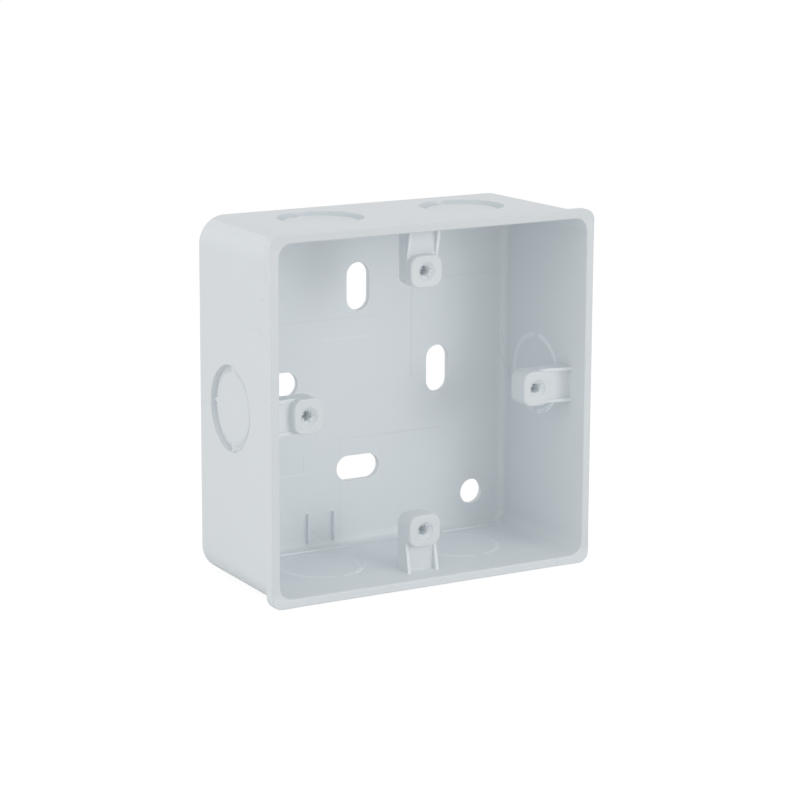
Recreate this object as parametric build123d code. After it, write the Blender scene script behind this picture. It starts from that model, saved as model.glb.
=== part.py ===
from build123d import *
import math
import os

# Square wall box for one switch or socket, moulded in one piece of plastic.
# Millimetres. The origin is the centre of the back face, which sits on the wall.
# +Y points into the wall, the open front faces -Y, and +Z is up.

# Box
WIDTH = 84.0            # outside, at the open front
HEIGHT = 84.0           # outside, at the open front
DEPTH = 36.0            # outside, from the rim to the back face
WALL = 2.0              # side walls
BACK = 1.5              # back wall
DRAFT = 0.42            # how far each side wall leans in from front to back
OUTER_CORNER = 6.4
INNER_CORNER = 3.2
INNER_FILLET = 1.8      # between the back wall and the side walls, inside
RIM_ROUND = 0.3         # edges of the rim
BACK_ROUND = 0.4        # outer edge of the back face

# Squared ears on the four front corners
EAR_CORNER = 2.7
EAR_PROUD = 0.12
EAR_REACH = 8.0
EAR_DEPTH = 3.6
EAR_ROUND = 1.2

# Lugs that the cover plate's screws go into
FIXING_CENTRES = 60.3
LUG_SETBACK = 4.7       # face of the lug behind the rim
LUG_WIDTH = 8.2         # along the wall
LUG_LENGTH = 7.5        # head, away from the wall
LUG_CORNER = 2.5
LUG_ROUND = 0.45        # edge of the lug's face
LUG_DEPTH = 5.5
HEAD_STEP = 2.0         # the arm's face behind the head's face
RIB_THICK = 0.8
RIB_DROP_HEAD = 1.85    # rib's front edge behind the lug face, beside the head
RIB_DROP_WALL = 0.4     # and at the wall
SCREW_BORE = 2.9        # core of an M3.5 thread
MOUTH_ROUND = 0.95

# Knockouts for 20 mm conduit
KNOCKOUT_HOLE = 19.9
KNOCKOUT_PLUG = 16.6
PLUG_RECESS = 0.8       # face of the plug below the outside of the wall
MEMBRANE = 0.5          # skin left at the bottom of the groove
BRIDGE_WIDTH = 1.8
KNOCKOUT_SETBACK = 20.5  # centre behind the rim
KNOCKOUT_SPACING = 37.2  # between the two on the top, and the two on the bottom

# Holes in the back for the screws that hold the box to the wall
SLOT_WIDTH = 6.0
SLOT_LENGTH = 11.4
SLOT_RADIUS = 21.75     # from the middle of the pattern to the middle of each slot
PATTERN_X = -1.0        # the pattern sits a little off the middle of the back
PATTERN_Z = 0.5
ROUND_HOLE = 6.1
ROUND_X = 30.7
ROUND_Z = -31.1

# Two short upright ribs low on the inside of the back
BACK_RIB_THICK = 0.6
BACK_RIB_HEIGHT = 0.8
BACK_RIB_X = (-14.5, -7.65)
BACK_RIB_TOP = -31.1
BACK_RIB_FOOT = -38.2

FRONT = -DEPTH
OVERCUT = 1.0           # how far a cut runs past the surface that it opens
FRONT_PLANE = Plane(origin=(0, FRONT, 0), x_dir=(1, 0, 0), z_dir=(0, 1, 0))
QUARTER_TURNS = (0, 90, 180, 270)


def lean_at(setback):
    """How far a side wall has leaned in, at this distance behind the rim."""
    return DRAFT * setback / DEPTH


def upright_rectangle(x_low, x_high, z_low, z_high, y):
    """A rectangle facing the wall, at this Y."""
    centre = ((x_low + x_high) / 2, y, (z_low + z_high) / 2)
    plane = Plane(origin=centre, x_dir=(1, 0, 0), z_dir=(0, 1, 0))
    return plane * Rectangle(x_high - x_low, z_high - z_low)


def tapered_block(width, height, depth, corner):
    """A block from the rim towards the wall that narrows with the draft."""
    taper = math.degrees(math.atan(DRAFT / DEPTH))
    block = extrude(FRONT_PLANE * Rectangle(width, height), amount=depth, taper=taper)
    corners = block.edges().filter_by(lambda edge: abs((edge % 0.5).Y) > 0.9)
    return fillet(corners, corner)


def outer_block():
    block = tapered_block(WIDTH, HEIGHT, DEPTH, OUTER_CORNER)
    ends = block.faces().sort_by(Axis.Y)
    block = fillet(ends[-1].edges(), BACK_ROUND)
    return fillet(block.faces().sort_by(Axis.Y)[0].edges(), RIM_ROUND)


def cavity():
    """The hollow, rounded where it meets the back wall."""
    hollow = tapered_block(WIDTH - 2 * WALL, HEIGHT - 2 * WALL, DEPTH - BACK, INNER_CORNER)
    deep_edges = hollow.faces().sort_by(Axis.Y)[-1].edges()
    return fillet(deep_edges, INNER_FILLET)


def ear(side_x, side_z):
    """The squared-up corner at the front, which rolls back into the rounded wall."""
    edge_x = side_x * WIDTH / 2
    edge_z = side_z * HEIGHT / 2
    tip = (edge_x + side_x * EAR_PROUD, FRONT, edge_z + side_z * EAR_PROUD)
    inner_x = edge_x - side_x * EAR_REACH
    inner_z = edge_z - side_z * EAR_REACH
    outline = Polyline(
        (inner_x, FRONT, edge_z), tip, (edge_x, FRONT, inner_z), (inner_x, FRONT, inner_z), close=True
    )
    face = make_face(outline)
    tip_corner = face.vertices().sort_by_distance(tip)[0]
    face = fillet(tip_corner, EAR_CORNER)
    block = extrude(face, amount=EAR_DEPTH, dir=(0, 1, 0))
    for end, radius in ((-1, EAR_ROUND), (0, RIM_ROUND)):
        end_face = block.faces().sort_by(Axis.Y)[end]
        inner_corner = Vertex(inner_x, end_face.center().Y, inner_z)
        outer_edges = [edge for edge in end_face.edges() if edge.distance_to(inner_corner) > EAR_REACH / 4]
        block = fillet(outer_edges, radius)
    return block


def lug_rib(side, wall_z):
    """One side rib of a lug's arm, whose front edge slopes forward towards the wall."""
    face_y = FRONT + LUG_SETBACK
    head_end = FIXING_CENTRES / 2 + LUG_LENGTH / 2
    start = head_end - LUG_CORNER
    outer_x = side * LUG_WIDTH / 2
    back_y = face_y + LUG_DEPTH
    profile = Polyline(
        (outer_x, face_y + HEAD_STEP, start),
        (outer_x, face_y + RIB_DROP_HEAD, head_end),
        (outer_x, face_y + RIB_DROP_WALL, wall_z),
        (outer_x, back_y, wall_z),
        (outer_x, back_y, start),
        close=True,
    )
    return extrude(make_face(profile), amount=RIB_THICK, dir=(-side, 0, 0))


def lug(half_size):
    """A lug on the top wall: a rounded head in front of an arm that runs to the wall."""
    face_y = FRONT + LUG_SETBACK
    centre_z = FIXING_CENTRES / 2
    inner_end = centre_z - LUG_LENGTH / 2
    wall_z = half_size - WALL / 2
    head_plane = Plane(origin=(0, face_y, centre_z), x_dir=(1, 0, 0), z_dir=(0, 1, 0))
    head = extrude(head_plane * RectangleRounded(LUG_WIDTH, LUG_LENGTH, LUG_CORNER), amount=LUG_DEPTH)
    head = fillet(head.faces().sort_by(Axis.Y)[0].edges(), LUG_ROUND)
    arm_face = upright_rectangle(
        -LUG_WIDTH / 2, LUG_WIDTH / 2, inner_end, wall_z, face_y + HEAD_STEP
    )
    arm = extrude(arm_face, amount=LUG_DEPTH - HEAD_STEP)
    inner_corners = arm.edges().filter_by(Axis.Y).sort_by(Axis.Z)[:2]
    arm = fillet(inner_corners, LUG_CORNER)
    whole = head + arm + lug_rib(-1, wall_z) + lug_rib(1, wall_z)
    bore_plane = Plane(origin=(0, face_y - OVERCUT, centre_z), z_dir=(0, 1, 0))
    whole -= extrude(bore_plane * Circle(SCREW_BORE / 2), amount=LUG_DEPTH + 2 * OVERCUT)
    face = whole.faces().sort_by(Axis.Y)[0]
    mouth = face.edges().filter_by(GeomType.CIRCLE).sort_by(lambda edge: abs(edge.radius - SCREW_BORE / 2))[0]
    return fillet(mouth, MOUTH_ROUND)


def knockout_cut(half_size, offset, bridges_along_wall):
    """What is cut from the top wall, leaving a recessed plug on two bridges and a thin skin."""
    normal = (0, DRAFT / DEPTH, 1)
    origin = (offset, FRONT + KNOCKOUT_SETBACK, half_size - lean_at(KNOCKOUT_SETBACK))
    surface = Plane(origin=origin, x_dir=(1, 0, 0), z_dir=normal)
    hole = Circle(KNOCKOUT_HOLE / 2)
    recess = extrude(surface.offset(-PLUG_RECESS) * hole, amount=PLUG_RECESS + OVERCUT)
    ring = Circle(KNOCKOUT_HOLE / 2) - Circle(KNOCKOUT_PLUG / 2)
    bridges = Rectangle(KNOCKOUT_HOLE + OVERCUT, BRIDGE_WIDTH)
    if not bridges_along_wall:
        bridges = Rot(0, 0, 90) * bridges
    groove_depth = WALL - MEMBRANE
    groove = extrude(surface.offset(-groove_depth) * (ring - bridges), amount=groove_depth)
    return recess + groove


def knockout_cuts():
    """Two on the top, two on the bottom and one on each side."""
    cuts = []
    for turn in (0, 180):
        for side in (-1, 1):
            cuts.append(Rot(0, turn, 0) * knockout_cut(HEIGHT / 2, side * KNOCKOUT_SPACING / 2, False))
    for turn in (90, 270):
        cuts.append(Rot(0, turn, 0) * knockout_cut(WIDTH / 2, 0, True))
    return cuts


def back_holes():
    """Two upright slots, two level slots and a round hole."""
    plane = Plane(origin=(0, -BACK - OVERCUT, 0), x_dir=(1, 0, 0), z_dir=(0, -1, 0))
    run = -(BACK + 2 * OVERCUT)
    slot = SlotOverall(SLOT_LENGTH, SLOT_WIDTH)
    places = (
        (PATTERN_X, PATTERN_Z + SLOT_RADIUS, 90),
        (PATTERN_X + SLOT_RADIUS, PATTERN_Z, 90),
        (PATTERN_X, PATTERN_Z - SLOT_RADIUS, 0),
        (PATTERN_X - SLOT_RADIUS, PATTERN_Z, 0),
    )
    holes = [extrude(plane * Pos(x, z) * Rot(0, 0, turn) * slot, amount=run) for x, z, turn in places]
    holes.append(extrude(plane * Pos(ROUND_X, ROUND_Z) * Circle(ROUND_HOLE / 2), amount=run))
    return holes


def back_rib(centre_x):
    """A thin upright rib that ends in the top of the fillet at the floor."""
    face = upright_rectangle(
        centre_x - BACK_RIB_THICK / 2,
        centre_x + BACK_RIB_THICK / 2,
        BACK_RIB_FOOT,
        BACK_RIB_TOP,
        -BACK - BACK_RIB_HEIGHT,
    )
    return extrude(face, amount=BACK_RIB_HEIGHT + BACK / 2)


def box():
    """The whole moulding."""
    body = outer_block()
    for side_x in (-1, 1):
        for side_z in (-1, 1):
            body += ear(side_x, side_z)
    body -= cavity()
    rim = body.faces().sort_by(Axis.Y)[0]
    body = fillet(rim.inner_wires()[0].edges(), RIM_ROUND)
    for turn in QUARTER_TURNS:
        half_size = HEIGHT / 2 if turn in (0, 180) else WIDTH / 2
        body += Rot(0, turn, 0) * lug(half_size)
    for centre_x in BACK_RIB_X:
        body += back_rib(centre_x)
    for cut in knockout_cuts() + back_holes():
        body -= cut
    return body


os.makedirs("parts", exist_ok=True)
export_step(box(), "parts/box.step")
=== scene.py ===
# %% [markdown]
# # A wall box of moulded plastic
#
# The real object is the box that sits behind a light switch or a socket. It is one
# moulding of pale grey plastic, with four lugs for the cover plate's screws, six
# knockouts for conduit and a pattern of slots in its back. The packed CAD model gives
# its form at real size. This lesson adds what moulding leaves on it: softened edges,
# cut threads, flash, witness lines and the plastic, with painted light through the thin
# skins round the knockouts and painted light and shade on edges, hollows and faces.
#
# Everything is in metres, in the CAD model's own frame: the back face is at Y = 0, the
# open front faces -Y and +Z is up.

# %% Load the CAD model as a fixed frame
import math
import bpy
from mathutils import Matrix, Vector


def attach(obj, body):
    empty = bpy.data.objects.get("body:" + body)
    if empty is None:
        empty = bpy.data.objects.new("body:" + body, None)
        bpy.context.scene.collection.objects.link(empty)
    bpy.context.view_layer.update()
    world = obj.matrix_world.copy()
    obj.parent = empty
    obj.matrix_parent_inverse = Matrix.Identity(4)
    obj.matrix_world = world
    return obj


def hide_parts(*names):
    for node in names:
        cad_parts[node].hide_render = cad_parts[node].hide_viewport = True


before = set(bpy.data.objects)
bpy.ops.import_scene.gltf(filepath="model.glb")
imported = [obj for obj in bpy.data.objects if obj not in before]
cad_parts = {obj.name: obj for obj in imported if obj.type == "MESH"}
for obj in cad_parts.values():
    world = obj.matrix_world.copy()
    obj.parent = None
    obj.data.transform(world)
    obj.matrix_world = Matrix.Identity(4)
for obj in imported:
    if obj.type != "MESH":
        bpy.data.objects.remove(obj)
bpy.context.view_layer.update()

MM = 0.001

# %% [markdown]
# ## The camera
#
# A product photograph is taken with a long lens, so that the box's edges stay nearly
# parallel. The camera could be placed by eye, but here its place was fitted: the corners,
# slots and lugs of the CAD model were laid over those in the photograph by least squares.
# That gives the point that it looks at, its direction and distance from there, a small
# roll and the lens.

# %% Camera
LOOK_AT = Vector((-9.597, -36.0, 2.535)) * MM
CAMERA_AZIMUTH = math.radians(-30.276)
CAMERA_ELEVATION = math.radians(12.405)
CAMERA_ROLL = math.radians(0.255)
CAMERA_DISTANCE = 632.082 * MM
LENS = 127.16            # focal length and sensor width, in millimetres
SENSOR_WIDTH = 36.0
CLIP = (0.01, 20.0)      # nearest and farthest seen, in metres


def aim(azimuth, elevation):
    """The unit vector from the box to a place in this direction."""
    level = math.cos(elevation)
    return Vector((math.sin(azimuth) * level, -math.cos(azimuth) * level, math.sin(elevation)))


towards_camera = aim(CAMERA_AZIMUTH, CAMERA_ELEVATION)
level_right = Vector((0, 0, 1)).cross(towards_camera).normalized()
level_up = towards_camera.cross(level_right)
image_right = math.cos(CAMERA_ROLL) * level_right + math.sin(CAMERA_ROLL) * level_up
image_up = math.cos(CAMERA_ROLL) * level_up - math.sin(CAMERA_ROLL) * level_right
turn = Matrix((image_right, image_up, towards_camera)).transposed()

lens = bpy.data.cameras.new("camera")
lens.sensor_width = SENSOR_WIDTH
lens.lens = LENS
lens.clip_start, lens.clip_end = CLIP
camera = bpy.data.objects.new("camera", lens)
bpy.context.scene.collection.objects.link(camera)
camera.matrix_world = Matrix.Translation(LOOK_AT + CAMERA_DISTANCE * towards_camera) @ turn.to_4x4()
bpy.context.scene.camera = camera
print("camera at, mm:", [round(v / MM, 1) for v in camera.location])

# %% [markdown]
# ## The table and the light
#
# The photograph has a plain white ground and almost no direction in its light: outer
# walls that face left, up and forwards are nearly the same grey, and only the hollow is
# darker, because less of the room reaches it. A bright room all round does that, helped by
# large soft lamps: on the left for the outer wall, above, and in front. Three smaller ones
# at the right front let the lugs throw soft shadows on the back. Their powers were found
# by rendering each lamp alone and weighing the pictures against the photograph's greys by
# least squares, and then set a little. The box stands on its two lower ears and the
# lower edge of its back, so the table slopes by about a degree in the box's own frame.

# %% Table
FRONT_CONTACT = Vector((0, -34.0, -42.085)) * MM
BACK_CONTACT = Vector((0, -0.3, -41.6)) * MM
TABLE_SIZE = 8.0

slope = math.atan2(BACK_CONTACT.z - FRONT_CONTACT.z, BACK_CONTACT.y - FRONT_CONTACT.y)
bpy.ops.mesh.primitive_plane_add(size=TABLE_SIZE, location=FRONT_CONTACT, rotation=(slope, 0, 0))
table = bpy.context.active_object
table.name = "table"
print("table slope, degrees:", round(math.degrees(slope), 2))

# %% Lamps and room
ROOM_LIGHT = 0.62
LAMP_DISTANCE = 0.95
LARGE = 0.9              # across the lamp, in metres
SMALL = 0.3
LAMPS = {                # azimuth and elevation in degrees, size, and power in watts
    "left_lamp": (-90, 20, LARGE, 1.6),
    "front_lamp": (-30, 15, LARGE, 0.3),
    "low_lamp": (30, -2, LARGE, 1.1),
    "top_lamp": (0, 75, LARGE, 0.7),
    "right_spot": (25, 8, SMALL, 0.55),
    "middle_spot": (16, 14, SMALL, 0.25),
    "high_spot": (25, 22, SMALL, 0.38),
}

room = bpy.data.worlds.new("room")
bpy.context.scene.world = room
room.use_nodes = True

for lamp_name, (azimuth, elevation, size, power) in LAMPS.items():
    place = LAMP_DISTANCE * aim(math.radians(azimuth), math.radians(elevation))
    lamp_data = bpy.data.lights.new(lamp_name, "AREA")
    lamp_data.shape = "DISK"
    lamp_data.size = size
    lamp_data.energy = power
    lamp = bpy.data.objects.new(lamp_name, lamp_data)
    bpy.context.scene.collection.objects.link(lamp)
    facing = place.to_track_quat("Z", "Y").to_matrix().to_4x4()
    lamp.matrix_world = Matrix.Translation(place) @ facing
    print(lamp_name, "at, mm:", [round(v / MM) for v in place])

# %% [markdown]
# ## Shader maths as Python
#
# A material is a tree of nodes, and most of this one is arithmetic on a point's place:
# how far it is from a knockout's centre, or whether it lies on a witness line. Joining
# Math nodes by hand hides that. A small class that wraps a socket lets the same maths be
# written as an expression, and adds the Math nodes as Python works it out.

# %% The class that wraps a socket
class Wire:
    """A socket of a node tree, which can be used in sums."""

    def __init__(self, tree, socket=None):
        self.tree = tree
        self.socket = socket

    def node(self, kind, settings=(), sockets=(), output=0):
        """Adds a node: its settings first, then the values or links of its sockets."""
        made = self.tree.nodes.new(kind)
        for name, value in dict(settings).items():
            setattr(made, name, value)
        for name, value in dict(sockets).items():
            if isinstance(value, Wire):
                self.tree.links.new(value.socket, made.inputs[name])
            else:
                made.inputs[name].default_value = value
        return Wire(self.tree, made.outputs[output] if made.outputs else None)

    def outputs(self, *names):
        """Several outputs of the node that this socket belongs to."""
        return [Wire(self.tree, self.socket.node.outputs[name]) for name in names]

    def maths(self, operation, first, second=0.0):
        return self.node("ShaderNodeMath", {"operation": operation}, {0: first, 1: second})

    def __add__(self, other):
        return self.maths("ADD", self, other)

    def __radd__(self, other):
        return self.maths("ADD", other, self)

    def __sub__(self, other):
        return self.maths("SUBTRACT", self, other)

    def __rsub__(self, other):
        return self.maths("SUBTRACT", other, self)

    def __mul__(self, other):
        return self.maths("MULTIPLY", self, other)

    def __rmul__(self, other):
        return self.maths("MULTIPLY", other, self)

    def __pow__(self, other):
        return self.maths("POWER", self, other)

    def __abs__(self):
        return self.maths("ABSOLUTE", self)


print("a Wire can:", [name for name in vars(Wire) if not name.startswith("__i")])

# %% [markdown]
# ## The white ground
#
# The table and the room show as plain white to the camera and in reflections, which costs
# the object no extra light. The table keeps a part of its real shading, so a faint shadow
# stays where the box stands.

# %% Finish of the room and the table
TABLE_PAINT = (0.9, 0.9, 0.9, 1.0)
TABLE_GLOW = 0.85        # how much of what the camera sees there is plain white
GROUND_WHITE = 1.08      # just enough for the lit table to reach white

sky = Wire(room.node_tree)
room.node_tree.nodes.clear()
rays = sky.node("ShaderNodeLightPath")
seen, glossy, through = rays.outputs("Is Camera Ray", "Is Glossy Ray", "Is Transmission Ray")
seen = sky.maths("MAXIMUM", sky.maths("MAXIMUM", seen, glossy), through)
strength = ROOM_LIGHT + seen * (1.0 - ROOM_LIGHT)
glow = sky.node("ShaderNodeBackground", (), {"Color": (1, 1, 1, 1), "Strength": strength})
sky.node("ShaderNodeOutputWorld", (), {"Surface": glow})

table_finish = bpy.data.materials.new("white_table")
table_finish.use_nodes = True
table_finish.node_tree.nodes.clear()
tree = Wire(table_finish.node_tree)
paint = tree.node("ShaderNodeBsdfDiffuse", (), {"Color": TABLE_PAINT})
white = tree.node("ShaderNodeEmission", (), {"Color": (1, 1, 1, 1), "Strength": GROUND_WHITE})
seen = tree.node("ShaderNodeLightPath", output="Is Camera Ray")
shown = tree.node("ShaderNodeMixShader", (), {0: seen * TABLE_GLOW, 1: paint, 2: white})
tree.node("ShaderNodeOutputMaterial", (), {"Surface": shown})
table.data.materials.append(table_finish)
print("table shows", TABLE_GLOW, "plain white")

# %% [markdown]
# ## The moulding
#
# The CAD model arrives as loose triangles with hard edges between them. On the real box
# every edge is a little soft, because the tool's edges wear and molten plastic does not
# quite fill them, and those edges catch the light. The form could be modelled again, but
# it is already right, so a copy is merged, its flat faces are joined, and a fine bevel is
# run along the sharp edges that are left. A Weighted Normal modifier then lets the large
# faces decide how the surface is shaded, because the narrow bevels would otherwise tint
# the flat walls beside them. The copy stands for the CAD node in the picture.

# %% Merge a copy of the CAD node
EDGE_SOFTNESS = 0.07 * MM
EDGE_SEGMENTS = 2
MERGE_DISTANCE = 0.0005 * MM
FLAT_ANGLE = math.radians(0.2)
SHARP_ANGLE = math.radians(38)
FACE_WEIGHT = 100        # how much a large face outweighs a small one


def pick(*chosen):
    """Leaves only these pieces selected, and the last one active."""
    bpy.ops.object.select_all(action="DESELECT")
    for piece in chosen:
        piece.select_set(True)
    bpy.context.view_layer.objects.active = chosen[-1]


moulding = bpy.data.objects.new("moulding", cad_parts["box"].data.copy())
bpy.context.scene.collection.objects.link(moulding)
pick(moulding)
bpy.ops.mesh.customdata_custom_splitnormals_clear()
bpy.ops.object.mode_set(mode="EDIT")
bpy.ops.mesh.select_all(action="SELECT")
bpy.ops.mesh.remove_doubles(threshold=MERGE_DISTANCE)
bpy.ops.mesh.dissolve_limited(angle_limit=FLAT_ANGLE)
bpy.ops.object.mode_set(mode="OBJECT")
print("merged:", len(moulding.data.vertices), "points,", len(moulding.data.polygons), "faces")

# %% Soften its edges
EAR_START = 33.0 * MM    # the ears' blends run out to nothing past here, and take no bevel
EAR_SIDE = 41.4 * MM
EAR_BACK = -32.0 * MM


def on_ear(point):
    """Whether a point lies on one of the four ears, which are already rounded."""
    across, along = sorted((abs(point.x), abs(point.z)))
    return point.y < EAR_BACK and across > EAR_START and along > EAR_SIDE


bpy.ops.object.mode_set(mode="EDIT")
bpy.ops.mesh.select_mode(type="EDGE")
bpy.ops.mesh.select_all(action="DESELECT")
bpy.ops.mesh.edges_select_sharp(sharpness=SHARP_ANGLE)
bpy.ops.object.mode_set(mode="OBJECT")
points = moulding.data.vertices
for edge in moulding.data.edges:
    middle = (points[edge.vertices[0]].co + points[edge.vertices[1]].co) / 2
    edge.select = edge.select and not on_ear(middle)
for part in (*moulding.data.polygons, *moulding.data.vertices):
    part.select = False
bpy.ops.object.mode_set(mode="EDIT")
bpy.ops.mesh.bevel(offset=EDGE_SOFTNESS, segments=EDGE_SEGMENTS, clamp_overlap=False)
bpy.ops.object.mode_set(mode="OBJECT")
bpy.ops.object.shade_smooth_by_angle(angle=SHARP_ANGLE)
bpy.ops.object.modifier_add(type="WEIGHTED_NORMAL")
weighted = moulding.modifiers[-1]
weighted.mode = "FACE_AREA"
weighted.weight = FACE_WEIGHT
weighted.keep_sharp = True
bpy.ops.object.modifier_apply(modifier=weighted.name)
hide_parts("box")
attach(moulding, "root")
print("softened:", len(moulding.data.polygons), "faces")

# %% [markdown]
# ## The threads
#
# Each lug's hole takes a machine screw, and its thread is a fine ridge that winds down the
# hole. The CAD model has only the plain hole. Cutting the groove out of the moulding would
# take a heavy boolean, so the ridge is added instead: a small diamond is carried round the
# hole's axis by a Screw modifier, its ends are closed, and it is turned to run along Y. It
# sits half in the wall of the hole. The other three are copies, each with its own mesh.

# %% The ridge, as cut across
HOLE_RADIUS = 1.45 * MM
THREAD_RIDGE = 0.24 * MM
RIDGE_SIDES = 4          # a diamond
QUARTER_TURN = math.radians(90)


def in_edit_mode(piece):
    """Selects a piece, with all of its mesh, and opens it for editing."""
    pick(piece)
    bpy.ops.object.mode_set(mode="EDIT")
    bpy.ops.mesh.select_mode(type="VERT")
    bpy.ops.mesh.select_all(action="SELECT")


def turn_mesh(angle, axis):
    """Turns what is selected in edit mode about an axis through the origin."""
    bpy.ops.transform.rotate(
        value=angle, orient_axis=axis, orient_type="GLOBAL", center_override=(0, 0, 0))


bpy.ops.object.select_all(action="DESELECT")
bpy.ops.mesh.primitive_circle_add(vertices=RIDGE_SIDES, radius=THREAD_RIDGE, location=(0, 0, 0))
thread = bpy.context.active_object
in_edit_mode(thread)
turn_mesh(QUARTER_TURN, "X")
bpy.ops.transform.translate(value=(HOLE_RADIUS, 0, 0))
bpy.ops.object.mode_set(mode="OBJECT")
print("ridge, points:", len(thread.data.vertices))

# %% Wind it round the hole
THREAD_PITCH = 0.6 * MM
THREAD_TURNS = 7
THREAD_STEPS = 40        # faces round each turn
THREAD_START = -30.3 * MM


def out_of_edit_mode():
    """Turns the faces outwards and closes the piece that is open for editing."""
    bpy.ops.mesh.select_all(action="SELECT")
    bpy.ops.mesh.normals_make_consistent(inside=False)
    bpy.ops.object.mode_set(mode="OBJECT")


def extent(piece):
    """Two opposite corners of the box round a piece, in millimetres."""
    return [[round(v / MM, 2) for v in piece.bound_box[corner]] for corner in (0, 6)]


bpy.ops.object.modifier_add(type="SCREW")
winding = thread.modifiers[-1]
winding.axis = "Z"
winding.angle = 2 * math.pi
winding.screw_offset = THREAD_PITCH
winding.iterations = THREAD_TURNS
winding.steps = THREAD_STEPS
winding.render_steps = THREAD_STEPS
bpy.ops.object.modifier_apply(modifier=winding.name)
in_edit_mode(thread)
bpy.ops.mesh.select_all(action="DESELECT")
bpy.ops.mesh.select_non_manifold()
bpy.ops.mesh.fill_holes(sides=RIDGE_SIDES)
bpy.ops.mesh.select_all(action="SELECT")
turn_mesh(QUARTER_TURN, "X")
bpy.ops.transform.translate(value=(0, THREAD_START, 0))
out_of_edit_mode()
print("thread, mm:", extent(thread))

# %% The four threads
SCREW_SPREAD = 30.15 * MM
SCREW_HOLES = {          # X and Z of the hole in each lug
    "left": (-SCREW_SPREAD, 0),
    "right": (SCREW_SPREAD, 0),
    "top": (0, SCREW_SPREAD),
    "bottom": (0, -SCREW_SPREAD),
}
finished = []


def keep(piece, name):
    """Names a finished piece of the moulding and lets it ride with the box."""
    piece.name = name
    piece.data.name = name
    bpy.ops.object.shade_smooth_by_angle(angle=SHARP_ANGLE)
    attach(piece, "root")
    finished.append(piece)


for side, (x, z) in SCREW_HOLES.items():
    copied = bpy.data.objects.new("thread", thread.data.copy())
    bpy.context.scene.collection.objects.link(copied)
    copied.data.transform(Matrix.Translation((x, 0, z)))
    pick(copied)
    keep(copied, f"thread_{side}")
bpy.data.objects.remove(thread)
print("pieces:", [piece.name for piece in finished])

# %% [markdown]
# ## Crumbs in the screw holes
#
# The photograph's holes are rough inside: a screw has torn the thread's edge and left
# crumbs of plastic on it. One set of crumbs is modelled, small blocks with rounded edges
# on the bore's wall, and each hole gets a copy turned by a different angle.

# %% One crumb
CRUMB_SIZE = 1.0 * MM
CRUMB_ROUNDING = 0.3 * MM

bpy.ops.object.select_all(action="DESELECT")
bpy.ops.mesh.primitive_cube_add(size=CRUMB_SIZE, location=(0, 0, 0))
crumb = bpy.context.active_object
in_edit_mode(crumb)
bpy.ops.mesh.bevel(offset=CRUMB_ROUNDING, segments=EDGE_SEGMENTS, affect="EDGES")
out_of_edit_mode()
print("crumb, faces:", len(crumb.data.polygons))

# %% Crumbs in all four holes
LUG_FRONT = -31.3 * MM
CRUMB_SPOKE = 1.3 * MM   # how far each crumb's middle is from the hole's
CRUMBS = (               # angle in degrees round the hole, depth and size in millimetres
    (5, 1.3, 0.35), (24, 0.7, 0.3), (50, 1.9, 0.4), (71, 1.1, 0.3), (104, 0.6, 0.28),
    (127, 1.6, 0.4), (152, 0.9, 0.36), (198, 0.5, 0.3), (221, 1.4, 0.38), (249, 0.8, 0.3),
    (283, 1.7, 0.42), (301, 0.5, 0.28), (330, 1.0, 0.36), (345, 2.1, 0.4),
)
CRUMB_TURNS = {"left": 0, "right": 130, "top": 205, "bottom": 80}

for side, (x, z) in SCREW_HOLES.items():
    bpy.ops.object.select_all(action="DESELECT")
    for angle, depth, size in CRUMBS:
        copied = bpy.data.objects.new("crumb", crumb.data.copy())
        bpy.context.scene.collection.objects.link(copied)
        angle = math.radians(angle + CRUMB_TURNS[side])
        place = Vector((
            x + CRUMB_SPOKE * math.cos(angle),
            LUG_FRONT + depth * MM,
            z + CRUMB_SPOKE * math.sin(angle),
        ))
        # tipped by its depth, taken as an angle, so that no two lie the same way
        turned = Matrix.Rotation(angle, 4, "Y") @ Matrix.Rotation(depth, 4, "X")
        copied.data.transform(Matrix.Translation(place) @ turned @ Matrix.Scale(size, 4))
        copied.select_set(True)
    bpy.context.view_layer.objects.active = copied
    bpy.ops.object.join()
    keep(copied, f"crumbs_{side}")
bpy.data.objects.remove(crumb)
print("pieces:", len(finished))

# %% [markdown]
# ## Flash
#
# Where two parts of a mould meet, a little plastic creeps between them and leaves a thin
# raised line, which moulders call flash. It shows here on the floor just in front of the
# back, and along parts of the rings where the knockouts' skins were formed. Each line is a
# small oval, half sunk in the wall and taller than it is wide, so that its front catches
# the light. A straight line is that oval drawn out in steps, lower at its far end. A curved
# one is the oval carried round the knockout's centre by the Spin tool.

# %% Straight lines of flash
FLASH_WIDTH = 0.2 * MM
FLASH_HEIGHT = 0.62 * MM  # half of it is sunk in the floor
FLASH_SIDES = 8
FLASH_START = 0.8        # its size at the start, as a part of the full one
FLASH_SWELL = (1.25, 1.0, 0.95, 0.8, 0.9, 0.6)
FLOOR = -39.62           # the floor's height near the back, in millimetres
FLOOR_FLASH = {          # from and to, X and Y in millimetres
    "flash_floor_left": ((-23.5, -3.8), (-4.2, -3.9)),
    "flash_floor_right": ((20.9, -3.9), (37.2, -3.7)),
}


def flash_oval(width, height):
    """A small filled oval that faces along X, open for editing at the origin."""
    bpy.ops.object.select_all(action="DESELECT")
    bpy.ops.mesh.primitive_circle_add(
        vertices=FLASH_SIDES, radius=width / 2, fill_type="NGON", location=(0, 0, 0))
    oval = bpy.context.active_object
    in_edit_mode(oval)
    turn_mesh(QUARTER_TURN, "Y")
    bpy.ops.transform.resize(value=(1, 1, height / width), center_override=(0, 0, 0))
    bpy.ops.mesh.select_mode(type="FACE")
    bpy.ops.mesh.select_all(action="SELECT")
    return oval


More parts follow.
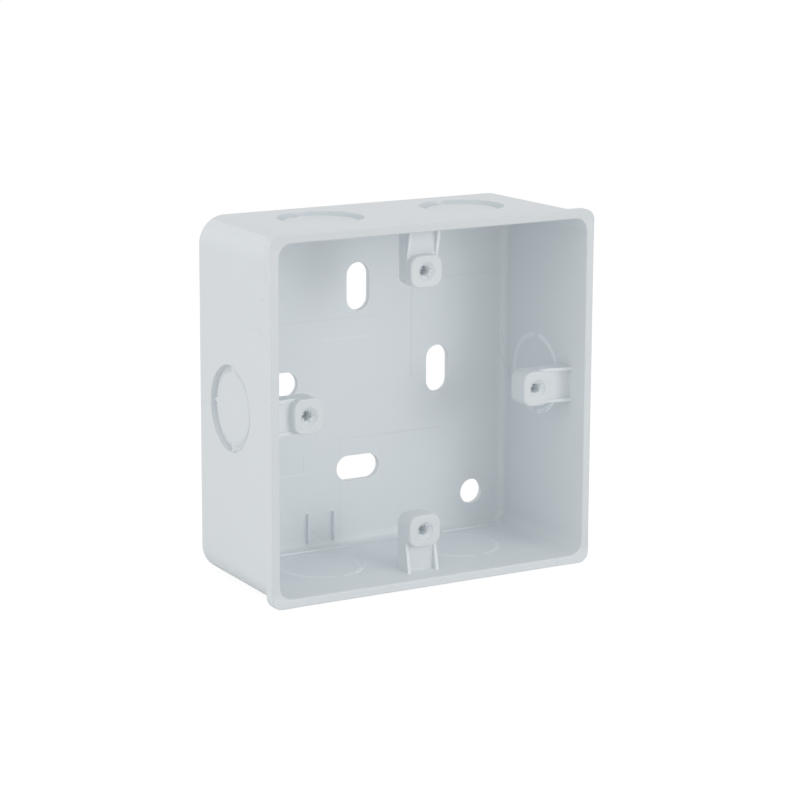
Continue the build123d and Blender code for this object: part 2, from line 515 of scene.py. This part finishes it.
for name, (start, end) in FLOOR_FLASH.items():
    middle = Vector((*start, FLOOR)) * MM
    step = (Vector((*end, FLOOR)) * MM - middle) / len(FLASH_SWELL)
    line = flash_oval(FLASH_WIDTH * FLASH_START, FLASH_HEIGHT * FLASH_START)
    bpy.ops.transform.translate(value=middle)
    for swell in FLASH_SWELL:
        bpy.ops.mesh.extrude_region_move(TRANSFORM_OT_translate={"value": step})
        middle = middle + step
        bpy.ops.transform.resize(value=(1, swell, swell), center_override=middle)
    out_of_edit_mode()
    keep(line, name)
    print(name, "faces:", len(line.data.polygons))

# %% Curved lines of flash
KNOCKOUT_Y = -15.5 * MM
KNOCKOUT_SPREAD = 18.6 * MM       # of the two above and the two below, from the middle
WALL_INSIDE = 39.8 * MM
ARC_WIDTH = 0.24 * MM
ARC_STEPS = 12
ARCS = {                 # centre, axis, radius, height, and the first angle and turn in degrees
    "flash_ring_right": ((WALL_INSIDE, KNOCKOUT_Y, 0), "X", 9.7 * MM, 1.2 * MM, 215, 34),
    "flash_ring_floor": (
        (-KNOCKOUT_SPREAD, KNOCKOUT_Y, -WALL_INSIDE), "Z", 9.85 * MM, 0.6 * MM, -66, 64),
}
AXES = {"X": Vector((1, 0, 0)), "Y": Vector((0, 1, 0)), "Z": Vector((0, 0, 1))}


def carry_round(piece, centre, axis, first, turned, steps):
    """Spins the face that is selected about an axis, from one angle through another."""
    # the Spin tool takes its angle the other way round
    bpy.ops.mesh.spin(steps=steps, angle=math.radians(-turned), center=centre, axis=AXES[axis])
    bpy.ops.object.mode_set(mode="OBJECT")
    turned_to = Matrix.Rotation(math.radians(first), 4, AXES[axis])
    piece.data.transform(Matrix.Translation(centre) @ turned_to @ Matrix.Translation(-centre))
    in_edit_mode(piece)
    out_of_edit_mode()


for name, (centre, axis, radius, height, first, turned) in ARCS.items():
    centre = Vector(centre)
    arc = flash_oval(ARC_WIDTH, height)
    # turned so that it faces along the arc, with its height across the wall
    spoke, turned_about = ("X", "Z") if axis == "Z" else ("Y", "Y")
    turn_mesh(QUARTER_TURN, turned_about)
    bpy.ops.transform.translate(value=centre + radius * AXES[spoke])
    carry_round(arc, centre, axis, first, turned, ARC_STEPS)
    keep(arc, name)
    print(name, "mm:", extent(arc))

# %% [markdown]
# ## The left knockout
#
# A knockout is held by two bridges of thicker plastic, which snap when it is pushed out.
# On the left one the groove is shallow along the front, the lower bridge has filled wider
# than it was drawn, and the plug's back edge carries a small nub. The shallow part is a
# rectangle carried round the knockout's centre. The other two are blocks with every edge
# rounded, sunk in the groove.

# %% The shallow part of the groove
KNOCKOUT_CENTRE = Vector((-40.55 * MM, KNOCKOUT_Y, 0))
FILL_RADIUS = 9.1 * MM   # middle of the groove
FILL_WIDTH = 1.9 * MM
FILL_DEPTH = 0.7 * MM
FILL_TURN = 180          # degrees, centred on the front
FILL_STEPS = 32

bpy.ops.object.select_all(action="DESELECT")
bpy.ops.mesh.primitive_plane_add(size=1, location=(0, 0, 0))
fill = bpy.context.active_object
in_edit_mode(fill)
bpy.ops.transform.resize(value=(FILL_DEPTH, FILL_WIDTH, 1), center_override=(0, 0, 0))
bpy.ops.transform.translate(value=KNOCKOUT_CENTRE - Vector((0, FILL_RADIUS, 0)))
bpy.ops.mesh.select_mode(type="FACE")
bpy.ops.mesh.select_all(action="SELECT")
carry_round(fill, KNOCKOUT_CENTRE, "X", -FILL_TURN / 2, FILL_TURN, FILL_STEPS)
keep(fill, "groove_fill")
print("groove fill, mm:", extent(fill))

# %% Burrs
BURRS = {                # centre, size and rounding, in millimetres
    "bridge_fill": ((-40.65, -17.6, -9.15), (1.0, 2.8, 1.5), 0.4),
    "plug_nub": ((-40.6, -6.95, 0.55), (0.8, 0.9, 1.2), 0.25),
}
BURR_SEGMENTS = 4

for name, (centre, size, rounding) in BURRS.items():
    bpy.ops.object.select_all(action="DESELECT")
    bpy.ops.mesh.primitive_cube_add(size=1, location=(0, 0, 0))
    burr = bpy.context.active_object
    in_edit_mode(burr)
    bpy.ops.transform.resize(value=Vector(size) * MM, center_override=(0, 0, 0))
    bpy.ops.mesh.bevel(offset=rounding * MM, segments=BURR_SEGMENTS, affect="EDGES")
    bpy.ops.mesh.select_all(action="SELECT")
    bpy.ops.transform.translate(value=Vector(centre) * MM)
    out_of_edit_mode()
    keep(burr, name)
    print(name, "faces:", len(burr.data.polygons))

# %% [markdown]
# ## The plastic
#
# The moulding is a matt, pale grey PVC with a slight blue cast. It is one colour all over,
# so what makes it look real is where that colour changes a little: the tool's joints leave
# faint lines on the back, and handling leaves scuffs. Much of the rest is painted light and
# shade: the thin skins round the knockouts are painted paler from inside, for the light that
# comes through them, edges get painted highlights, and hollows and some whole faces get
# painted shade. Each of those is worked out from the point's place in millimetres, so that
# the marks stay put from every side. A place is given by its middle, half its range and how
# softly it ends, and a fade by where it is nothing and where it is full. A fine bump stands
# for the grain of the tool's steel.

# %% The point's place, in millimetres
plastic = bpy.data.materials.new("pale_grey_plastic")
plastic.use_nodes = True
plastic.node_tree.nodes.clear()
tree = Wire(plastic.node_tree)
point = tree.node("ShaderNodeTexCoord", output="Object")
point = point.node("ShaderNodeVectorMath", {"operation": "SCALE"}, {0: point, "Scale": 1 / MM})
split = point.node("ShaderNodeSeparateXYZ", (), {0: point})
x, y, z = split.outputs("X", "Y", "Z")


def noise(scale, detail):
    """Uneven values round a half, so many to the millimetre."""
    sockets = {"Vector": point, "Scale": scale, "Detail": detail}
    return point.node("ShaderNodeTexNoise", (), sockets)


print("nodes so far:", len(plastic.node_tree.nodes))

# %% Fades, distances and strokes
def fade(value, nothing_at, full_at):
    """0 at one value, 1 at the other, and a smooth step between them."""
    sockets = {"Value": value, "From Min": nothing_at, "From Max": full_at}
    return value.node("ShaderNodeMapRange", {"interpolation_type": "SMOOTHSTEP"}, sockets)


def near(value, centre, half_width, softness):
    """1 within half_width of centre, fading to 0 over the softness outside it."""
    return fade(abs(value - centre), half_width + softness, half_width)


def distance(across, along, place=(0.0, 0.0)):
    """How far a point is from a place, both on the same plane."""
    return ((across - place[0]) ** 2 + (along - place[1]) ** 2) ** 0.5


def stroke(across, along, start, end, half_width, softness):
    """1 on the straight stroke between two places, and 0 away from it."""
    run, rise = end[0] - start[0], end[1] - start[1]
    squared = run * run + rise * rise
    part = ((across - start[0]) * run + (along - start[1]) * rise) * (1 / squared)
    part = part.maths("MINIMUM", part.maths("MAXIMUM", part, 0.0), 1.0)
    off_across = across - start[0] - part * run
    off_along = along - start[1] - part * rise
    return near(distance(off_across, off_along), 0.0, half_width, softness)


print("a stroke is:", stroke.__doc__)

# %% Where the faces are
EDGE = 0.06              # how softly a mark ends where its face does
INSIDE = (WALL_INSIDE / MM, 0.3, EDGE)
FLOOR_INSIDE = (-WALL_INSIDE / MM, 0.3, EDGE)
LEFT_OUTSIDE = (-41.85, 0.28, EDGE)
BACK_INSIDE = (-1.5, 0.2, EDGE)
RIM_FACE = (-35.75, -35.9)

inner_side = near(abs(x), *INSIDE)
inner_level = near(abs(z), *INSIDE)
on_right = near(x, *INSIDE)
on_left = near(x, *LEFT_OUTSIDE)
on_back = near(y, *BACK_INSIDE)
on_floor = near(z, *FLOOR_INSIDE)
on_rim = fade(y, *RIM_FACE)
square_reach = x.maths("MAXIMUM", abs(x), abs(z))
print("nodes, with the faces' places:", len(plastic.node_tree.nodes))

# %% [markdown]
# Every mark only makes the plastic a little paler or darker. `tone` starts at 1, each
# mark adds its share where it lies, and the colour is multiplied by the sum.
#
# The skins round the knockouts come first. From inside they are painted as pale rings,
# for the light that comes through them, broken where the bridges are and palest towards
# the front. Then come painted highlights on the edges of the curved flash, on the right
# wall and on the floor.

# %% Painted light through the skins round the knockouts
SKIN_RADIUS = 9.4
SKIN_HALF_WIDTH = 0.42
SKIN_SOFTNESS = 0.3
SKIN_GAP = 0.85          # half the width of each bridge
SKIN_BACKWARD = 0.15     # how far behind the knockout's middle a skin's middle lies
# Painted light: the skins are painted paler from inside, for light that comes through them.
SIDE_SKIN = (9.23, -0.1)          # on the side walls, a skin's radius and its middle
SIDE_SKIN_LIGHT_TONES = (0.09, 0.155)   # at the back and at the front
LEVEL_SKIN_LIGHT_TONES = (0.035, 0.1)
SKIN_LIGHT_FORWARD = (2.0, -4.0)          # how far forward a skin begins and ends to grow paler


def ring(across, along, gap_along, radius):
    """Where the painted light through the skin round a knockout lies, broken at its two bridges."""
    skin = near(distance(across, along), radius, SKIN_HALF_WIDTH, SKIN_SOFTNESS)
    return skin * (1.0 - near(gap_along, 0.0, SKIN_GAP, SKIN_SOFTNESS))


forward = y - KNOCKOUT_Y / MM
shifted = forward - SKIN_BACKWARD
to_front = fade(forward, *SKIN_LIGHT_FORWARD)
# Painted light through the skins, palest towards the front.
least, most = SIDE_SKIN_LIGHT_TONES
radius, backward = SIDE_SKIN
side_skin_light = ring(z, forward - backward, forward, radius) * inner_side
tone = 1.0 + side_skin_light * (least + to_front * (most - least))
least, most = LEVEL_SKIN_LIGHT_TONES
skin_light_tone = least + to_front * (most - least)
knockout_place = KNOCKOUT_SPREAD / MM
for place in (-knockout_place, knockout_place):
    across = x - place
    level_skin_light = ring(across, shifted, across, SKIN_RADIUS) * inner_level
    tone = tone + level_skin_light * skin_light_tone
print("nodes, with the skins:", len(plastic.node_tree.nodes))

# %% Painted highlights on the edges of the curved flash
FLASH_HIGHLIGHT_WIDTH = (0.1, 0.12)          # half width and softness
RIGHT_FLASH = (39.6, 0.55, EDGE)
RIGHT_FLASH_RADIUS = 9.75
RIGHT_FLASH_BELOW = (-5.3, -6.0)
RIGHT_FLASH_FRONT = (-3.5, -4.0)
RIGHT_FLASH_HIGHLIGHT = 0.15
FLOOR_FLASH_RADIUS = 10.2
FLOOR_FLASH_RIGHT = (0.8, 1.8)
FLOOR_FLASH_FRONT = (-0.2, -1.0)
FLOOR_FLASH_HIGHLIGHT = 0.1

# Painted highlights along the edges of the curved flash, on the right wall and on the floor.
edge = near(distance(z, forward), RIGHT_FLASH_RADIUS, *FLASH_HIGHLIGHT_WIDTH)
edge = edge * fade(z, *RIGHT_FLASH_BELOW) * fade(forward, *RIGHT_FLASH_FRONT)
tone = tone + edge * near(x, *RIGHT_FLASH) * RIGHT_FLASH_HIGHLIGHT
across = x + knockout_place
edge = near(distance(across, forward), FLOOR_FLASH_RADIUS, *FLASH_HIGHLIGHT_WIDTH)
edge = edge * fade(across, *FLOOR_FLASH_RIGHT) * fade(forward, *FLOOR_FLASH_FRONT)
tone = tone + edge * on_floor * FLOOR_FLASH_HIGHLIGHT
print("nodes, with the flash:", len(plastic.node_tree.nodes))

# %% [markdown]
# A tool of steel is built from parts, and each joint between them prints a faint line on
# the back. Beside the back, light and shade are painted: shade on the corners next to it
# and in the bay between the two ribs, highlights along the line where its blend begins and
# on the tops of the flash, and light on the ribs' shaded sides.

# %% Witness lines
WITNESS_LINES = (        # direction, place across it, from, to, and how much paler
    ("upright", 13.6, -1, 20, -0.07),
    ("upright", -5.8, -38, -14, -0.035),
    ("upright", -15.6, -20.5, -17, -0.05),
    ("level", 15.0, -22, 3, -0.035),
    ("level", 10.2, -10, 2, 0.045),
    ("level", -14.0, 7, 21, -0.07),
    ("level", -14.0, -3, 6, -0.03),
    ("level", -21.4, -22, -15.6, 0.06),
    ("level", 22.6, 22, 38, -0.035),
)
WITNESS_WIDTH = (0.1, 0.15)       # half width and softness
WITNESS_FADE = 1.0

for direction, place, start, end, change in WITNESS_LINES:
    across, along = (x, z) if direction == "upright" else (z, x)
    stretch = near(along, (start + end) / 2, (end - start) / 2, WITNESS_FADE)
    tone = tone + near(across, place, *WITNESS_WIDTH) * stretch * on_back * change
print("nodes, with the witness lines:", len(plastic.node_tree.nodes))

# %% Corners, flash and ribs beside the back
CORNER = (38.9, 0.95, 0.15)       # the walls next to the back are a shade darker
CORNER_DEPTH = (-4.9, -4.3)
CORNER_SHADE = -0.01
CREASE = (37.55, 0.1, 0.2)        # where the back ends in a blend
CREASE_HIGHLIGHTS = (0.012, 0.05)
CREASE_BRIGHT = (4.3, 5.3, 0.5)
CREASE_BELOW = (0.0, -1.0)
FLASH_TOP = (-39.3, 0.2, EDGE)    # the tops of the flash on the floor are paler
FLASH_DEPTH = (-3.8, 0.6, EDGE)
FLASH_TOP_HIGHLIGHT = 0.07
RIB_BAY = (-11.1, 2.8, 0.3)       # the bay between the two ribs is a shade darker
RIB_BAY_END = (-32.0, -36.0)
RIB_BAY_SHADOW = -0.03
RIBS_ACROSS = (-11.1, 4.5, 0.1)   # the sides of both ribs are paler
RIBS_ALONG = (-34.4, 3.4, 0.1)
RIBS_DEPTH = (-1.85, 0.3, 0.03)
RIB_SIDE_LIGHT = 0.06

# Painted shade on the walls next to the back.
tone = tone + near(square_reach, *CORNER) * fade(y, *CORNER_DEPTH) * CORNER_SHADE
# Painted highlight along the line where the back ends in its blend, brightest low near the middle.
least, most = CREASE_HIGHLIGHTS
crease_highlight = least + near(x, *CREASE_BRIGHT) * fade(z, *CREASE_BELOW) * (most - least)
tone = tone + near(square_reach, *CREASE) * on_back * crease_highlight
# Painted highlight on the tops of the flash on the floor.
tone = tone + near(z, *FLASH_TOP) * near(y, *FLASH_DEPTH) * FLASH_TOP_HIGHLIGHT
# Painted shadow of the lower lug in the bay between the two ribs.
tone = tone + near(x, *RIB_BAY) * fade(z, *RIB_BAY_END) * on_back * RIB_BAY_SHADOW
# Painted light on the shaded sides of both ribs.
on_rib = near(x, *RIBS_ACROSS) * near(z, *RIBS_ALONG) * near(y, *RIBS_DEPTH)
tone = tone + on_rib * RIB_SIDE_LIGHT
print("nodes, with the corners:", len(plastic.node_tree.nodes))

# %% [markdown]
# Use leaves fine marks: a scratch up the corner beside the right lug, scuffs on the outer
# left wall, and small specks. Each is a stroke or a spot. A scratch of several strokes takes
# the largest of them at each point, so that they don't add up where they join.

# %% Scratches, scuffs and specks
STROKES = (              # the wall, its two axes, from and to, and how much paler
    (on_right, y, z, (-19.4, 18.1), (-24.6, 16.1), 0.035),
    (on_back, x, z, (-13.3, -36.0), (-12.4, -35.9), -0.09),
    (on_back, x, z, (-12.4, -35.9), (-11.6, -36.9), -0.09),
    (on_back, x, z, (-11.6, -36.9), (-10.9, -37.4), -0.09),
)
SCRATCHES = (            # up the corner beside the right lug, as X minus Y, and Z
    ((40.6, 7.7), (41.1, 4.7)),
    ((39.8, 3.8), (39.9, 2.6), (41.4, 0.4), (41.6, -0.6), (43.4, -1.4), (44.3, -3.0),
     (44.7, -4.6)),
)
SCRATCH_WIDTH = (0.1, 0.2)
SCRATCH_TONE = -0.075
RIGHT_CORNER = (38.8, 1.2, EDGE)
SCUFFS = (               # on the left wall, as Y and Z
    ((-32.4, 36.7), (-33.7, 33.1), -0.04),
    ((-33.7, 33.1), (-33.2, 30.8), -0.05),
    ((-30.5, 27.5), (-33.5, 27.2), -0.04),
    ((-29.8, 20.3), (-34.0, 18.6), -0.035),
    ((-26.0, 20.0), (-29.8, 20.3), -0.02),
)
SPECKS = (               # where, its two axes, place, radius, and how much paler
    (on_rim, x, z, (33.07, -40.3), 0.16, -0.1),
    (on_rim, x, z, (33.09, -41.28), 0.16, -0.12),
    (on_rim, x, z, (-41.81, -39.84), 0.12, -0.12),
    (on_floor, x, y, (-16.1, -26.4), 0.35, -0.05),
    (on_floor, x, y, (-18.5, -7.6), 0.4, -0.04),
    (on_floor, x, y, (-9.4, -13.0), 0.45, -0.03),
)
STROKE_WIDTH = (0.07, 0.12)       # half width and softness
SCUFF_WIDTH = (0.12, 0.25)
SPECK_SOFTNESS = 0.08

for wall, across, along, start, end, change in STROKES:
    tone = tone + stroke(across, along, start, end, *STROKE_WIDTH) * wall * change
for places in SCRATCHES:
    mark = 0.0
    for start, end in zip(places, places[1:]):
        mark = tone.maths("MAXIMUM", mark, stroke(x - y, z, start, end, *SCRATCH_WIDTH))
    tone = tone + mark * near(x, *RIGHT_CORNER) * SCRATCH_TONE
for start, end, change in SCUFFS:
    tone = tone + stroke(y, z, start, end, *SCUFF_WIDTH) * on_left * change
for wall, across, along, place, radius, change in SPECKS:
    spot = near(distance(across, along, place), 0.0, radius, SPECK_SOFTNESS)
    tone = tone + spot * wall * change
print("nodes, with the scratches:", len(plastic.node_tree.nodes))

# %% [markdown]
# Whole faces differ a little too, by painted light and shade. The front of the rim and the
# faces of the lugs get painted shade, most on the rim's upper bar and least on its lower
# one. So does the top face, and the floor gets painted light away from the rim.

# %% Rim, top, floor and lugs
RIM_SHADE = -0.12
RIM_BAR = (38.0, 40.0)   # the upper and the lower bar of the rim begin here
RIM_TOP_SHADE = -0.035
RIM_BOTTOM_LIGHT = 0.06
TOP_FACE = (40.6, 40.8)
TOP_FACE_SHADE = -0.06
FLOOR_START = (-33.0, -27.0)
FLOOR_LIGHT = 0.035
LUG_FACE = (LUG_FRONT / MM, 0.12, EDGE)
LUG_REACH = (7.0, 6.5)   # from the middle of the lug's hole
LUG_FACE_SHADE = -0.1
WEB_FACE = (-29.3, 0.12, EDGE)    # between the two ribs of the upper and the lower lug
WEB_START = (33.8, 34.2)
WEB_REACH = (4.3, 4.1)
WEB_SHADE = -0.06

screw_place = SCREW_SPREAD / MM
to_level_screw = distance(abs(x), z, (screw_place, 0.0))
to_upright_screw = distance(x, abs(z), (0.0, screw_place))
to_screw = tone.maths("MINIMUM", to_level_screw, to_upright_screw)
top_bar = fade(z, *RIM_BAR)
bottom_bar = fade(-1.0 * z, *RIM_BAR)
# Painted shade on the front of the rim, more on its upper bar and less on its lower bar.
tone = tone + on_rim * (RIM_SHADE + top_bar * RIM_TOP_SHADE + bottom_bar * RIM_BOTTOM_LIGHT)
# Painted shade on the top face.
tone = tone + fade(z, *TOP_FACE) * (1.0 - on_rim) * TOP_FACE_SHADE
# Painted light on the floor away from the rim.
tone = tone + on_floor * fade(y, *FLOOR_START) * FLOOR_LIGHT
# Painted shade on the faces of the lugs.
tone = tone + near(y, *LUG_FACE) * fade(to_screw, *LUG_REACH) * LUG_FACE_SHADE
# Painted shade on the webs between the ribs of the upper and the lower lug.
on_web = near(y, *WEB_FACE) * fade(abs(z), *WEB_START) * fade(abs(x), *WEB_REACH)
tone = tone + on_web * WEB_SHADE
print("nodes, with the faces:", len(plastic.node_tree.nodes))

# %% [markdown]
# Plastic that has been cut or torn is uneven. In the screw holes it is painted paler, as
# painted light, and round their mouths a little darker, as painted shade, so noise is added
# to both.

# %% Screw holes
HOLE_EDGE = (1.8, 1.5)   # outside and inside the wall of a hole
HOLE_DEPTH = (-28.5, 2.4, 0.2)
HOLE_LIGHT = 0.18
MOUTH = (1.75, 0.3, 0.3)
MOUTH_DEPTH = (-30.6, 0.7, 0.3)
MOUTH_SHADE = -0.07
CUT_SCALE = 2.0          # per millimetre
CUT_DETAIL = 2.0
CUT_TONE = 0.2

uneven = noise(CUT_SCALE, CUT_DETAIL) - 0.5
# Painted light inside the screw holes.
in_hole = fade(to_screw, *HOLE_EDGE) * near(y, *HOLE_DEPTH)
tone = tone + in_hole * (HOLE_LIGHT + uneven * CUT_TONE)
# Painted shade round the mouths of the screw holes.
on_mouth = near(to_screw, *MOUTH) * near(y, *MOUTH_DEPTH)
tone = tone + on_mouth * (MOUTH_SHADE + uneven * CUT_TONE)
print("nodes, with the screw holes:", len(plastic.node_tree.nodes))

# %% [markdown]
# The deep part of the left knockout's groove is torn, with uneven streaks, and darker with
# painted shade, and the shallow part has a soft painted shade, darkest below. Along the
# plug's front edge and on the filled bridge there is a faint painted shade too.

# %% Groove and plug of the left knockout
GROOVE = (9.15, 0.72, 0.1)
GROOVE_DEPTH = (40.5, 0.25, 0.05)
GROOVE_START = (-3.0, -1.0)
GROOVE_SHADE = -0.1
TORN_SCALE = 0.9         # streaks in the groove, per millimetre
TORN_DETAIL = 3.0
TORN_TONE = 0.1
FILL_FACE = (-40.9, 0.07, 0.03)
FILL_START = (-0.9, -1.3)
FILL_BELOW = (-1.0, -5.0)
FILL_SHADES = (-0.03, -0.06)       # above and below the knockout's middle
PLUG_EDGE = (7.95, 0.4, 0.3)
PLUG_EDGE_START = (0.0, -2.0)
PLUG_EDGE_SHADE = -0.04
PLUG_FACE = (-41.0, 0.2, EDGE)
BRIDGE_HEIGHT = (-9.15, 0.8, 0.1)
BRIDGE_FORWARD = (-2.1, 1.5, 0.2)
BRIDGE_SHADE = -0.05

torn = noise(TORN_SCALE, TORN_DETAIL)
to_knockout = distance(z, forward)
# Painted shade in the deep part of the groove, with uneven streaks.
in_ring = near(to_knockout, *GROOVE)
in_groove = in_ring * near(abs(x), *GROOVE_DEPTH) * fade(forward, *GROOVE_START)
tone = tone + in_groove * (GROOVE_SHADE + (torn - 0.5) * TORN_TONE)
# Painted shade on the shallow part of the groove, darkest below.
on_fill = in_ring * near(x, *FILL_FACE) * fade(forward, *FILL_START)
above, below = FILL_SHADES
tone = tone + on_fill * (above + fade(z, *FILL_BELOW) * (below - above))
on_plug_face = near(x, *PLUG_FACE)
# Painted shade along the plug's front edge.
on_plug_edge = near(to_knockout, *PLUG_EDGE) * on_plug_face
tone = tone + on_plug_edge * fade(forward, *PLUG_EDGE_START) * PLUG_EDGE_SHADE
# Painted shade on the filled bridge.
on_bridge = near(z, *BRIDGE_HEIGHT) * near(forward, *BRIDGE_FORWARD) * on_plug_face
tone = tone + on_bridge * BRIDGE_SHADE
print("nodes, with the groove:", len(plastic.node_tree.nodes))

# %% [markdown]
# Last come the colour itself, a faint mottle, the grain's bump and a satin roughness. Every
# piece of the moulding gets the same plastic.

# %% Finish of the plastic
PLASTIC_COLOUR = (0.79, 0.832, 0.857)
PLASTIC_ROUGHNESS = 0.45
PLASTIC_IOR = 1.5
MOTTLE_SCALE = 0.35      # per millimetre
MOTTLE_DETAIL = 2.0
MOTTLE_TONE = 0.012
GRAIN_SCALE = 6.0
GRAIN_DETAIL = 3.0
GRAIN_HEIGHT = 0.004 * MM
GRAIN_STRENGTH = 0.5

tone = tone + (noise(MOTTLE_SCALE, MOTTLE_DETAIL) - 0.5) * MOTTLE_TONE
colour = point.node(
    "ShaderNodeVectorMath", {"operation": "SCALE"}, {0: PLASTIC_COLOUR, "Scale": tone})
grain = noise(GRAIN_SCALE, GRAIN_DETAIL)
bump = point.node("ShaderNodeBump", (), {
    "Strength": GRAIN_STRENGTH,
    "Distance": GRAIN_HEIGHT,
    "Height": grain,
})
surface = point.node("ShaderNodeBsdfPrincipled", (), {
    "Base Color": colour,
    "Roughness": PLASTIC_ROUGHNESS,
    "IOR": PLASTIC_IOR,
    "Normal": bump,
})
tree.node("ShaderNodeOutputMaterial", (), {"Surface": surface})
for piece in (moulding, *finished):
    piece.data.materials.clear()
    piece.data.materials.append(plastic)
print("nodes in the plastic:", len(plastic.node_tree.nodes))

# %% [markdown]
# ## The end
#
# The picture is shown as it is, with the Standard view transform.

# %% Finish
bpy.context.scene.view_settings.view_transform = "Standard"
